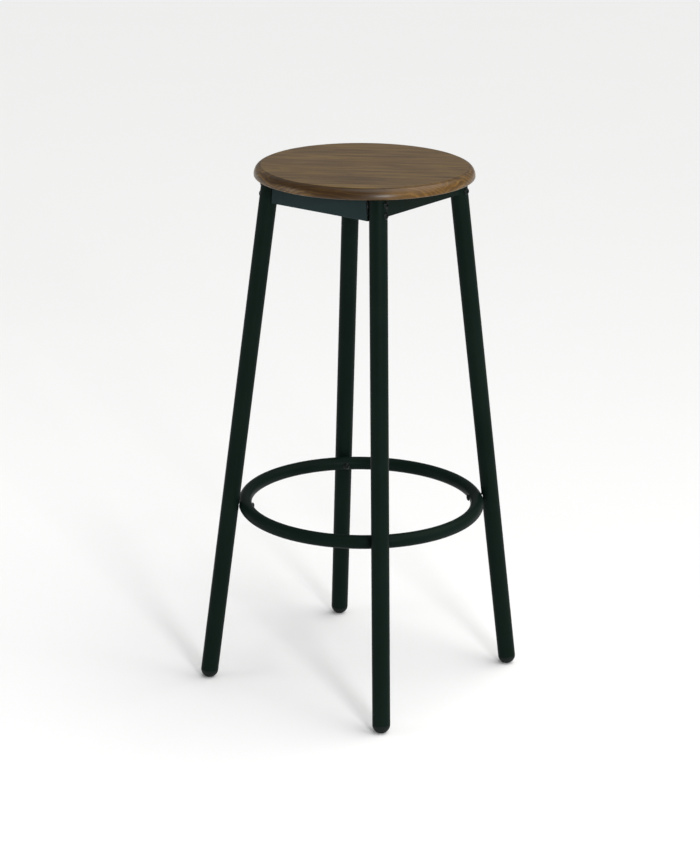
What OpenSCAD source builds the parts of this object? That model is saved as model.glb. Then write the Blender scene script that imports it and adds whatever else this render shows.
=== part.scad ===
// Bar stool with a round wooden seat, four splayed tube legs and a ring footrest.
// Millimetres. +Z is up, -Y is the front, and the origin is on the floor under the
// middle of the seat. Each side frame is two legs and a welded side rail. The front
// and back rails are bolted between the side frames, and the ring is bolted to the legs.
// The front right quarter is drawn once, and the other three are its mirror images.

/* [Overall] */
// Height from the floor to the top of the seat
stool_h = 765; // [650:1:800]
// Diameter of the circle through the leg axes at floor level
foot_circle_d = 449; // [420:1:480]
// Diameter of the circle through the leg axes under the seat
top_circle_d = 263; // [255:1:275]

/* [Seat] */
// Largest diameter of the seat
seat_d = 310; // [305:1:330]
// Thickness of the seat
seat_t = 15.5; // [14.5:0.5:25]
// Width of the rounding above the widest line of the edge
seat_top_round = 9.5; // [6:0.5:14]
// Depth of the widest line of the edge, below the top
seat_widest = 13.5; // [10:0.5:14.5]
// Width of the rounding below the widest line of the edge
seat_under_round = 2.5; // [1:0.5:5]
// Height of the small step around the flat top
seat_step = 0.7; // [0.3:0.1:1.5]

/* [Legs] */
// Outside diameter of the leg tube
leg_d = 25.4; // [24:0.1:28]
// Wall of the leg tube and of the footrest tube
tube_wall = 1.5; // [1.2:0.1:2]
// Diameter of the flat that each foot stands on
foot_land_d = 8; // [6:0.5:12]
// Length of the part of the foot inside the leg
foot_stem = 22; // [15:1:30]

/* [Rails] */
// Width of all four rails
rail_w = 20; // [18:0.5:20]
// Height of the bolted front and back rails
cross_rail_h = 34; // [33:1:38]
// Height of the welded side rails
side_rail_h = 28; // [24:1:32]
// Outside radius of the rails' corners
rail_corner = 2.5; // [2.2:0.1:4]
// Size of the weld bead between a side rail and a leg
weld = 2.2; // [1.5:0.1:2.5]
// Thickness of the threaded plate in each bolted rail end
nut_plate_t = 5; // [4:0.5:8]

/* [Footrest] */
// Outside diameter of the footrest tube
ring_tube_d = 19.5; // [16:0.5:22]
// Height of the middle of the footrest tube
ring_z = 266; // [220:1:320]

/* [Fasteners] */
// Shank diameter of the button-head bolts
bolt_d = 6; // [5:0.5:6]
// Depth of the upper rail bolts below the top of the seat
bolt_depth = 26; // [22:0.5:27]
// Distance between the two bolts of a joint
bolt_pitch = 14.5; // [12.5:0.5:15.5]
// Outside diameter of the threaded insert in each leg
insert_d = 9; // [8:0.5:10]
// Shank diameter of the seat screws
screw_d = 4; // [3.5:0.5:4.5]
// Length of the seat screws
screw_len = 15; // [12:1:16]

/* [Seat tabs] */
// Length of each tab along its rail
tab_len = 34; // [25:1:40]
// Reach of each tab in from its rail
tab_reach = 22; // [18:1:26]
// Thickness of each tab
tab_t = 2.5; // [2:0.5:4]

/* [Hidden] */
$fn = 96;

// Heights
seat_r = seat_d / 2;
seat_z = stool_h - seat_t;
cross_rail_z = seat_z - cross_rail_h / 2;
side_rail_z = seat_z - side_rail_h / 2;
bolt_zs = [stool_h - bolt_depth, stool_h - bolt_depth - bolt_pitch];

// Legs: splay is measured from the vertical in the diagonal plane, and rake in X or Y alone
leg_r = leg_d / 2;
bore_r = leg_r - tube_wall;
foot_r = foot_circle_d / 2;
splay = atan((foot_circle_d - top_circle_d) / 2 / seat_z);
rake = atan(tan(splay) / sqrt(2));
// Turn from a leg's diagonal to its rail bolts, about the leg's axis
bolt_turn = asin(cos(rake) / sqrt(2));
// Distance of a leg's axis from the middle of the stool, along X or Y, at height z
function leg_xy(z) = (foot_r - z * tan(splay)) / sqrt(2);
// Distance along a leg's axis from floor level to height z
function leg_run(z) = z / cos(splay);

// Feet: the dome's centre is on the leg's axis, at the end of the tube
dome_z = sqrt(leg_r * leg_r - foot_land_d * foot_land_d / 4);
stem_wall = 2.5;
rib_pitch = 5;
rib_h = 1.6;
rib_depth = 0.6;

// Rails
cross_rail_y = leg_xy(cross_rail_z);
side_rail_x = leg_xy(side_rail_z);
// Clearance of a threaded plate inside its rail, both sides together
nut_plate_gap = 1.3;

// Footrest: the ring touches each leg on its inner side
ring_tube_r = ring_tube_d / 2;
ring_reach = leg_r + ring_tube_r;
ring_leg_z = ring_z + ring_reach * sin(splay);
ring_r = leg_xy(ring_leg_z) * sqrt(2) - ring_reach * cos(splay);

// Bolts and inserts
head_d = bolt_d * 1.75;
head_h = bolt_d * 0.55;
socket_flats = bolt_d * 2 / 3;
socket_depth = bolt_d * 0.35;
hole_d = bolt_d + 0.4;
thread_gap = 0.05;
// A weld bead starts this far behind the bolt heads
weld_to_head = 0.8;
weld_start_y = weld_to_head + head_d / 2 - leg_xy(side_rail_z);
bolt_tip = 0.8;
bolt_past_plate = 5;
rail_bolt_len = leg_d + nut_plate_t + bolt_past_plate;
insert_len = 11;
ring_bolt_len = ring_tube_d + insert_len;
insert_bulge = 1.2;
insert_bulge_h = 3;
// The bulge sits where it just clears the round inside of the leg
insert_bulge_r = insert_d / 2 + insert_bulge;
insert_bulge_top = sqrt(bore_r * bore_r - insert_bulge_r * insert_bulge_r);
// The flat underside of a footrest bolt's head bears at its edges on the curved ring
ring_head_gap = 0.15;

// Seat screws
tab_hole_d = screw_d + 0.5;
tab_corner = 4;
tab_lap = rail_corner / 2;
screw_head_d = screw_d * 2;
screw_head_h = screw_d * 0.65;
screw_tip = 3;
screw_point_d = 0.6;
pilot_depth = screw_len - tab_t + 1;
side_tab_x = side_rail_x - rail_w / 2 - tab_reach / 2;
cross_tab_y = cross_rail_y - rail_w / 2 - tab_reach / 2;

// Longer than any cut that has to run right through
past = 60;
arc_steps = 12;

steel_colour = "#1d2625";
plastic_colour = "#151716";
zinc_colour = "#9a9c9e";
wood_colour = "#73624e";

// ---- Placing ----

// Carries the front right quarter to the side given by x_side and y_side, each 1 or -1
module quarter(x_side, y_side) {
    mirror([x_side < 0 ? 1 : 0, 0, 0])
        mirror([0, y_side > 0 ? 1 : 0, 0])
            children();
}

// Puts a child on the front right leg's axis at height z: local +Z runs up the leg,
// and local +X points away from the middle of the stool
module on_leg(z) {
    rotate([0, 0, -45])
        translate([foot_r, 0, 0])
            rotate([0, -splay, 0])
                translate([0, 0, leg_run(z)])
                    children();
}

// Turns local +Z to point out of the leg along a rail bolt, head first
module along_rail_bolt(z) {
    on_leg(z)
        rotate([0, 90, bolt_turn])
            children();
}

// Turns local +Z to point to the middle of the stool along a footrest bolt, head first
module along_ring_bolt() {
    on_leg(ring_leg_z)
        rotate([0, -90, 0])
            children();
}

// Puts a child at the front rail's right end: local -X runs into the rail from the
// plane where its square-cut end meets the leg
module at_rail_end() {
    translate([cross_rail_y - leg_r / cos(rake), -cross_rail_y, cross_rail_z])
        rotate([0, -rake, 0])
            children();
}

// ---- Shared shapes ----

module leg_outline() {
    on_leg(0)
        cylinder(r = leg_r, h = leg_run(stool_h));
}

module rounded_rect(w, h, r) {
    square([w - 2 * r, h], center = true);
    square([w, h - 2 * r], center = true);
    for (x = [-1, 1], y = [-1, 1])
        translate([x * (w / 2 - r), y * (h / 2 - r)])
            circle(r = r);
}

module rail_section(h) {
    difference() {
        rounded_rect(rail_w, h, rail_corner);
        rounded_rect(rail_w - 2 * tube_wall, h - 2 * tube_wall, rail_corner - tube_wall);
    }
}

// A rail runs along Y, centred, with its section upright
module rail_tube(h, length) {
    rotate([90, 0, 0])
        linear_extrude(height = length, center = true)
            rail_section(h);
}

// A button-head bolt with a hexagon socket: the head stands on z = 0, and the shank hangs below
module button_bolt(length) {
    dome_r = (head_d * head_d / 4 + head_h * head_h) / (2 * head_h);
    difference() {
        union() {
            intersection() {
                translate([0, 0, head_h - dome_r])
                    sphere(r = dome_r);
                cylinder(d = head_d + 1, h = head_h + 1);
            }
            translate([0, 0, bolt_tip - length])
                cylinder(d = bolt_d, h = length - bolt_tip);
            translate([0, 0, -length])
                cylinder(d1 = bolt_d - 2 * bolt_tip, d2 = bolt_d, h = bolt_tip);
        }
        translate([0, 0, head_h - socket_depth])
            cylinder(d = socket_flats / cos(30), h = socket_depth + 1, $fn = 6);
    }
}

// ---- Seat ----

// Points of a quarter ellipse with half axes a and b, from angle start to start + 90
function quarter_arc(centre, a, b, start) =
    [for (i = [0:arc_steps])
        let (t = start + 90 * i / arc_steps)
            [centre[0] + a * cos(t), centre[1] + b * sin(t)]];

module seat() {
    under_h = seat_t - seat_widest;
    lower = quarter_arc([seat_r - seat_under_round, under_h], seat_under_round, under_h, 270);
    upper = quarter_arc([seat_r - seat_top_round, under_h], seat_top_round, seat_widest - seat_step, 0);
    color(wood_colour)
        difference() {
            translate([0, 0, seat_z])
                rotate_extrude($fn = 180)
                    polygon(concat([[0, 0]], lower, upper,
                        [[seat_r - seat_top_round, seat_t], [0, seat_t]]));
            for (p = screw_places())
                translate([p[0], p[1], seat_z - 1])
                    cylinder(d = screw_d, h = pilot_depth + 1);
        }
}

// ---- Legs and feet ----

module leg(x_side, y_side) {
    color(steel_colour)
        quarter(x_side, y_side)
            difference() {
                on_leg(dome_z)
                    cylinder(r = leg_r, h = leg_run(stool_h - dome_z));
                on_leg(0)
                    cylinder(r = bore_r, h = leg_run(stool_h) + 1);
                translate([0, 0, seat_z + past])
                    cube([foot_circle_d, foot_circle_d, 2 * past], center = true);
                for (z = bolt_zs)
                    along_rail_bolt(z)
                        cylinder(d = hole_d, h = past, center = true);
                along_ring_bolt()
                    cylinder(d = insert_d, h = leg_d);
            }
}

module foot(x_side, y_side) {
    color(plastic_colour)
        quarter(x_side, y_side)
            intersection() {
                on_leg(dome_z)
                    difference() {
                        union() {
                            difference() {
                                sphere(r = leg_r);
                                cylinder(r = leg_d, h = leg_d);
                            }
                            foot_stem_ribs();
                        }
                        translate([0, 0, stem_wall])
                            cylinder(r = bore_r - rib_depth - stem_wall, h = foot_stem);
                    }
                translate([0, 0, past])
                    cube([foot_circle_d, foot_circle_d, 2 * past], center = true);
            }
}

// Ribs grip the bore, and the stem between them is a little thinner
module foot_stem_ribs() {
    translate([0, 0, -1])
        cylinder(r = bore_r - rib_depth, h = foot_stem + 1);
    for (z = [0 : rib_pitch : foot_stem - rib_h])
        translate([0, 0, z])
            cylinder(r = bore_r, h = rib_h);
}

// ---- Side frames ----

module weld_section() {
    difference() {
        rounded_rect(rail_w + 2 * weld, side_rail_h + 2 * weld, rail_corner + weld);
        rounded_rect(rail_w, side_rail_h, rail_corner);
        translate([-past - rail_w / 2 + rail_corner, -past / 2])
            square(past);
    }
}

module side_rail(x_side) {
    color(steel_colour)
        difference() {
            translate([x_side * side_rail_x, 0, side_rail_z])
                rail_tube(side_rail_h, 2 * leg_xy(side_rail_z));
            for (y_side = [-1, 1])
                quarter(x_side, y_side)
                    leg_outline();
        }
}

// A bead runs down the outer side of each coped end and along its underside. It stays
// clear of the bolt heads and of the end of the bolted rail
module frame_welds(x_side) {
    color(steel_colour)
        for (y_side = [-1, 1])
            quarter(x_side, y_side)
                difference() {
                    intersection() {
                        translate([side_rail_x, weld_start_y + past / 2, side_rail_z])
                            rotate([90, 0, 0])
                                linear_extrude(height = past, center = true)
                                    weld_section();
                        on_leg(0)
                            cylinder(r = leg_r + weld, h = leg_run(stool_h));
                        translate([0, 0, seat_z - past])
                            cube([foot_circle_d, foot_circle_d, 2 * past], center = true);
                    }
                    leg_outline();
                }
}

// ---- Bolted rails ----

module cross_rail(y_side) {
    color(steel_colour)
        difference() {
            translate([0, y_side * cross_rail_y, cross_rail_z])
                rotate([0, 0, 90])
                    rail_tube(cross_rail_h, 2 * leg_xy(cross_rail_z));
            for (x_side = [-1, 1])
                quarter(x_side, y_side)
                    at_rail_end()
                        translate([past / 2, 0, 0])
                            cube(past, center = true);
        }
}

module nut_plates(y_side) {
    plate_w = rail_w - 2 * tube_wall - nut_plate_gap;
    plate_h = cross_rail_h - 2 * tube_wall - nut_plate_gap;
    color(zinc_colour)
        for (x_side = [-1, 1])
            quarter(x_side, y_side)
                difference() {
                    at_rail_end()
                        translate([-nut_plate_t / 2, 0, 0])
                            cube([nut_plate_t, plate_w, plate_h], center = true);
                    for (z = bolt_zs)
                        along_rail_bolt(z)
                            cylinder(d = bolt_d + 2 * thread_gap, h = past, center = true);
                }
}

module cross_rail_bolts(y_side) {
    color(steel_colour)
        for (x_side = [-1, 1], z = bolt_zs)
            quarter(x_side, y_side)
                along_rail_bolt(z)
                    translate([0, 0, leg_r])
                        button_bolt(rail_bolt_len);
}

// ---- Footrest ----

module each_leg() {
    for (x_side = [-1, 1], y_side = [-1, 1])
        quarter(x_side, y_side)
            children();
}

module footrest_ring() {
    color(steel_colour)
        difference() {
            translate([0, 0, ring_z])
                rotate_extrude($fn = 180)
                    translate([ring_r, 0])
                        difference() {
                            circle(r = ring_tube_r);
                            circle(r = ring_tube_r - tube_wall);
                        }
            each_leg()
                along_ring_bolt()
                    cylinder(d = hole_d, h = past);
        }
}

module footrest_bolts() {
    color(steel_colour)
        each_leg()
            along_ring_bolt()
                translate([0, 0, leg_r + ring_tube_d + ring_head_gap])
                    button_bolt(ring_bolt_len);
}

// A threaded insert fills the hole in the leg, and bulges behind the wall to grip it
module footrest_inserts() {
    outer_end = leg_r - thread_gap;
    color(zinc_colour)
        each_leg()
            along_ring_bolt()
                difference() {
                    union() {
                        translate([0, 0, outer_end - insert_len])
                            cylinder(d = insert_d, h = insert_len);
                        translate([0, 0, insert_bulge_top - insert_bulge_h])
                            cylinder(r = insert_bulge_r, h = insert_bulge_h);
                    }
                    translate([0, 0, -past / 2])
                        cylinder(d = bolt_d + 2 * thread_gap, h = past);
                }
}

// ---- Seat fixing ----

function screw_places() = [[0, -cross_tab_y], [0, cross_tab_y], [side_tab_x, 0], [-side_tab_x, 0]];

// A flat tab reaches in from the middle of a rail, level with its top. Local +X points
// to the rail, and the tab's end is hollowed to fit around the rail's upper corner
module seat_tab(place, turn) {
    inner_end = tab_corner - tab_reach / 2;
    color(steel_colour)
        translate([place[0], place[1], seat_z - tab_t])
            rotate([0, 0, turn])
                difference() {
                    linear_extrude(height = tab_t)
                        union() {
                            translate([inner_end, -tab_len / 2])
                                square([tab_reach - tab_corner + tab_lap, tab_len]);
                            translate([-tab_reach / 2, tab_corner - tab_len / 2])
                                square([tab_reach / 2, tab_len - 2 * tab_corner]);
                            for (y = [-1, 1])
                                translate([inner_end, y * (tab_len / 2 - tab_corner)])
                                    circle(r = tab_corner);
                        }
                    translate([0, 0, -1])
                        cylinder(d = tab_hole_d, h = tab_t + 2);
                    rail_edge();
                }
}

// The rail's face and rounded upper corner, in a tab's own place
module rail_edge() {
    translate([tab_reach / 2 + rail_corner, 0, tab_t - rail_corner])
        rotate([90, 0, 0])
            cylinder(r = rail_corner, h = 2 * tab_len, center = true);
    translate([tab_reach / 2, -tab_len, tab_t - rail_corner - past])
        cube([past, 2 * tab_len, past]);
}

// A pan-head wood screw with a cross recess, driven up through a tab
module seat_screw() {
    recess_w = screw_d / 4;
    recess_depth = screw_head_h * 0.6;
    difference() {
        union() {
            translate([0, 0, -screw_head_h])
                cylinder(d1 = screw_head_d * 0.75, d2 = screw_head_d, h = screw_head_h);
            cylinder(d = screw_d, h = screw_len - screw_tip);
            translate([0, 0, screw_len - screw_tip])
                cylinder(d1 = screw_d, d2 = screw_point_d, h = screw_tip);
        }
        for (turn = [0, 90])
            rotate([0, 0, turn])
                translate([0, 0, -screw_head_h])
                    cube([screw_d, recess_w, 2 * recess_depth], center = true);
    }
}

module seat_screws() {
    color(zinc_colour)
        for (p = screw_places())
            translate([p[0], p[1], seat_z - tab_t])
                seat_screw();
}

seat();
leg(1, -1);  // leg_front_right
leg(1, 1);  // leg_back_right
leg(-1, 1);  // leg_back_left
leg(-1, -1);  // leg_front_left
foot(1, -1);  // foot_front_right
foot(1, 1);  // foot_back_right
foot(-1, 1);  // foot_back_left
foot(-1, -1);  // foot_front_left
side_rail(1);  // right_side_rail
side_rail(-1);  // left_side_rail
frame_welds(1);  // right_frame_welds
frame_welds(-1);  // left_frame_welds
cross_rail(-1);  // front_rail
cross_rail(1);  // back_rail
nut_plates(-1);  // front_rail_nut_plates
nut_plates(1);  // back_rail_nut_plates
cross_rail_bolts(-1);  // front_rail_bolts
cross_rail_bolts(1);  // back_rail_bolts
footrest_ring();
footrest_bolts();
footrest_inserts();
seat_tab(screw_places()[0], -90);  // seat_tab_front
seat_tab(screw_places()[1], 90);  // seat_tab_back
seat_tab(screw_places()[2], 0);  // seat_tab_right
seat_tab(screw_places()[3], 180);  // seat_tab_left
seat_screws();
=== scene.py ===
"""Bar stool with a wooden seat and a ring footrest: the looks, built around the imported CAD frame.

Every length is in metres, in the CAD model's own frame: +Z is up, -Y is the front, and the origin is on the
floor under the middle of the seat. Where the pieces go is worked out from the frame's own boxes.
"""

import math

import bmesh
import bpy
from mathutils import Matrix, Vector


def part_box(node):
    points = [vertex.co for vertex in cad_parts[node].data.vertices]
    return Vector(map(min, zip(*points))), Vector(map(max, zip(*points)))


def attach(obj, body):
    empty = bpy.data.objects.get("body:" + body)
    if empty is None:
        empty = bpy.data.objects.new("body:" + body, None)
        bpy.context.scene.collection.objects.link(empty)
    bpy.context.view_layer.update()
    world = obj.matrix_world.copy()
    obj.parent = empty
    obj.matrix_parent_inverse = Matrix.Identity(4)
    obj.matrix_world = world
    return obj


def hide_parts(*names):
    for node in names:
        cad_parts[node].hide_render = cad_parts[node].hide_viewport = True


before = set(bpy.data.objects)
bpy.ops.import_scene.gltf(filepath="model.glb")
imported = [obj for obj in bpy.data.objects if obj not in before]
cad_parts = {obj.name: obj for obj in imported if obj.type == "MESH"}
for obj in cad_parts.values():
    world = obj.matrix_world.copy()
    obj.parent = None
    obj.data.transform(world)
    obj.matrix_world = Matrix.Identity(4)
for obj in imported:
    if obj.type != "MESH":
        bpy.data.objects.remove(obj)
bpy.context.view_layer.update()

MM = 0.001
BODY = "root"
CORNERS = {
    "front_right": (1, -1),
    "back_right": (1, 1),
    "back_left": (-1, 1),
    "front_left": (-1, -1),
}
UP = Vector((0, 0, 1))


# ---- Sizes: those the frame's boxes give, then those inside its pieces ----

seat_low, seat_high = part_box("seat")
SEAT_R = seat_high.x
SEAT_TOP = seat_high.z
SEAT_UNDER = seat_low.z

cross_low, cross_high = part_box("front_rail")
side_low, side_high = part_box("right_side_rail")
RAIL_W = side_high.x - side_low.x
CROSS_H = cross_high.z - cross_low.z
CROSS_Z = (cross_high.z + cross_low.z) / 2
CROSS_Y = -(cross_high.y + cross_low.y) / 2
SIDE_H = side_high.z - side_low.z
SIDE_Z = (side_high.z + side_low.z) / 2
SIDE_X = (side_high.x + side_low.x) / 2

# A leg's axis moves out by RAKE along X and along Y for each unit down
RAKE = (SIDE_X - CROSS_Y) / (CROSS_Z - SIDE_Z)
SPLAY = math.atan(RAKE * math.sqrt(2))

ring_low, ring_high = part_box("footrest_ring")
RING_TUBE_R = 9.75 * MM
RING_Z = (ring_high.z + ring_low.z) / 2
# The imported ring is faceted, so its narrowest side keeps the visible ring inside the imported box
RING_R = min(ring_high.x, ring_high.y, -ring_low.x, -ring_low.y) - RING_TUBE_R

tab_low, tab_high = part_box("seat_tab_right")
TAB_T = tab_high.z - tab_low.z
TAB_REACH = SIDE_X - RAIL_W / 2 - tab_low.x
TAB_LEN = tab_high.y - tab_low.y
TAB_X = tab_low.x + TAB_REACH / 2
TAB_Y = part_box("seat_tab_back")[0].y + TAB_REACH / 2

SEAT_ROUND = 9.5 * MM
LEG_R = 12.7 * MM
WALL = 1.5 * MM
FOOT_LAND_R = 4 * MM
DOME_Z = math.sqrt(LEG_R ** 2 - FOOT_LAND_R ** 2)
RAIL_CORNER = 2.5 * MM
WELD = 2.2 * MM
BOLT_R = 3 * MM
BOLT_HEAD_R = 5.25 * MM
BOLT_HEAD_H = 3.3 * MM
BOLT_HOLE_R = 3.2 * MM
RAIL_BOLT_DEPTHS = (26 * MM, 40.5 * MM)
RAIL_BOLT_LEN = 35 * MM
RING_BOLT_LEN = 30 * MM
RING_HEAD_GAP = 0.15 * MM
INSERT_R = 4.5 * MM
TAB_HOLE_R = 2.25 * MM
SCREW_R = 2 * MM
SCREW_LEN = 15 * MM
SCREW_PLACES = [(0, -TAB_Y), (0, TAB_Y), (TAB_X, 0), (-TAB_X, 0)]

# How far a cutter runs past what it cuts: through a tube, and through a flat face
PAST_TUBE = 5 * MM
PAST_FACE = 1 * MM


def leg_xy(z):
    """Distance of every leg's axis from the middle of the stool, along X or Y, at height z."""
    return CROSS_Y + (CROSS_Z - z) * RAKE


# ---- Mesh helpers ----

def add_to_scene(name, data):
    """A new object that shows the given mesh, light or camera."""
    thing = bpy.data.objects.new(name, data)
    bpy.context.scene.collection.objects.link(thing)
    return thing


def mesh_of(name, points, faces):
    mesh = bpy.data.meshes.new(name)
    mesh.from_pydata([tuple(p) for p in points], [], faces)
    return mesh


def new_piece(name, points, faces, material, replaced, sharp=35, matrix=None):
    """A closed mesh, its normals turned out, smooth except at edges sharper than the given angle."""
    mesh = mesh_of(name, points, faces)
    if matrix is not None:
        mesh.transform(matrix)
    piece = add_to_scene(name, mesh)
    tidy_mesh(piece, sharp)
    mesh.materials.append(material)
    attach(piece, BODY)
    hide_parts(*replaced)
    return piece


def tidy_mesh(piece, sharp=35):
    """Merges doubled points, turns the normals out and shades the mesh."""
    work = bmesh.new()
    work.from_mesh(piece.data)
    bmesh.ops.remove_doubles(work, verts=work.verts, dist=1e-7)
    bmesh.ops.dissolve_degenerate(work, edges=work.edges, dist=1e-7)
    bmesh.ops.recalc_face_normals(work, faces=work.faces)
    work.to_mesh(piece.data)
    work.free()
    piece.data.shade_smooth()
    piece.data.set_sharp_from_angle(angle=math.radians(sharp))


def apply_modifiers(piece):
    """Makes the piece's mesh what its modifiers show, and removes them."""
    graph = bpy.context.evaluated_depsgraph_get()
    done = bpy.data.meshes.new_from_object(piece.evaluated_get(graph))
    piece.modifiers.clear()
    piece.data = done


def cut(piece, cutters, sharp=35):
    """Takes each cutter, a (points, faces) pair, out of the piece."""
    tool = add_to_scene("cutter", mesh_of("cutter", *joined(cutters)))
    tidy_mesh(tool)
    boolean = piece.modifiers.new("cut", "BOOLEAN")
    boolean.operation = "DIFFERENCE"
    boolean.solver = "EXACT"
    boolean.object = tool
    bpy.context.view_layer.update()
    apply_modifiers(piece)
    bpy.data.objects.remove(tool)
    tidy_mesh(piece, sharp)
    return piece


def soften(piece, width, angle=40):
    """Rounds the piece's edges that are sharper than the given angle."""
    bevel = piece.modifiers.new("soften", "BEVEL")
    bevel.width = width
    bevel.segments = 2
    bevel.limit_method = "ANGLE"
    bevel.angle_limit = math.radians(angle)
    bpy.context.view_layer.update()
    apply_modifiers(piece)
    tidy_mesh(piece)
    return piece


def joined(parts):
    """One set of points and faces from several (points, faces) parts."""
    points, faces = [], []
    for part_points, part_faces in parts:
        base = len(points)
        points += part_points
        faces += [[base + i for i in face] for face in part_faces]
    return points, faces


def moved(part, matrix):
    """A (points, faces) part, moved by the matrix."""
    points, faces = part
    return [matrix @ p for p in points], faces


def revolve(profile, segments):
    """Points and faces of a profile of (radius, height) pairs turned about Z. A radius of 0 makes a pole."""
    points, rings, faces = [], [], []
    for radius, height in profile:
        count = 1 if radius == 0 else segments
        rings.append(list(range(len(points), len(points) + count)))
        for i in range(count):
            turn = 2 * math.pi * i / segments
            points.append(Vector((radius * math.cos(turn), radius * math.sin(turn), height)))
    for low, high in zip(rings, rings[1:]):
        for i in range(segments):
            j = (i + 1) % segments
            corners = [low[i % len(low)], low[j % len(low)], high[j % len(high)], high[i % len(high)]]
            face = list(dict.fromkeys(corners))
            if len(face) > 2:
                faces.append(face)
    return points, faces


def loft(loops, closed=False, capped=False):
    """Faces that join equal closed loops of points, one after another."""
    size = len(loops[0])
    points = [p for one in loops for p in one]
    faces = []
    spans = len(loops) if closed else len(loops) - 1
    for a in range(spans):
        b = (a + 1) % len(loops)
        for i in range(size):
            j = (i + 1) % size
            faces.append([a * size + i, a * size + j, b * size + j, b * size + i])
    if capped:
        faces.append(list(range(size)))
        faces.append(list(range((len(loops) - 1) * size, len(loops) * size)))
    return points, faces


def arc(centre, radius, start, end, steps, squash=1.0):
    """Points of an arc in a profile, from one angle to another in degrees, flattened in height by squash."""
    return [
        (
            centre[0] + radius * math.cos(math.radians(start + (end - start) * i / steps)),
            centre[1] + radius * squash * math.sin(math.radians(start + (end - start) * i / steps)),
        )
        for i in range(steps + 1)
    ]


def rod(start, end, radius, segments):
    """Points and faces of a plain round bar from one point to another."""
    length = (end - start).length
    bar = revolve([(0, 0), (radius, 0), (radius, length), (0, length)], segments)
    return moved(bar, aimed(start, end - start))


def aimed(place, direction):
    """A matrix that puts local +Z along direction, at place, with local X as near upright as it can be."""
    z = direction.normalized()
    x = UP - z * UP.dot(z)
    if x.length < 1e-6:
        x = Vector((1, 0, 0)) - z * z.x
    x.normalize()
    y = z.cross(x)
    rotation = Matrix((x, y, z)).transposed().to_4x4()
    return Matrix.Translation(place) @ rotation


def rounded_outline(width, height, radius):
    """Points of a rounded rectangle about the middle, going round once."""
    outline = []
    for corner, (sx, sy) in enumerate([(1, 1), (-1, 1), (-1, -1), (1, -1)]):
        middle = (sx * (width / 2 - radius), sy * (height / 2 - radius))
        outline += arc(middle, radius, 90 * corner, 90 * corner + 90, 8)
    return outline


# ---- Placing ----

def leg_matrix(corner):
    """The frame of a leg: local +Z runs up its axis from floor level, and local +X points outward."""
    sx, sy = CORNERS[corner]
    turn = Matrix.Rotation(math.atan2(sy, sx), 4, "Z")
    out = Matrix.Translation((leg_xy(0) * math.sqrt(2), 0, 0))
    lean = Matrix.Rotation(-SPLAY, 4, "Y")
    return turn @ out @ lean


def leg_point(corner, z):
    """The point on a leg's axis at height z."""
    sx, sy = CORNERS[corner]
    return Vector((sx * leg_xy(z), sy * leg_xy(z), z))


def rail_bolt_line(corner, depth):
    """A point on the leg's axis and the direction out to the head, for a rail bolt."""
    sx = CORNERS[corner][0]
    return leg_point(corner, SEAT_TOP - depth), Vector((sx, 0, RAKE)).normalized()


def ring_bolt_line(corner):
    """A point on the leg's axis and the direction in to the head, for a footrest bolt."""
    reach = LEG_R + RING_TUBE_R
    inward = -(leg_matrix(corner).to_3x3() @ Vector((1, 0, 0)))
    return leg_point(corner, RING_Z + reach * math.sin(SPLAY)), inward


# ---- Materials ----

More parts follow.
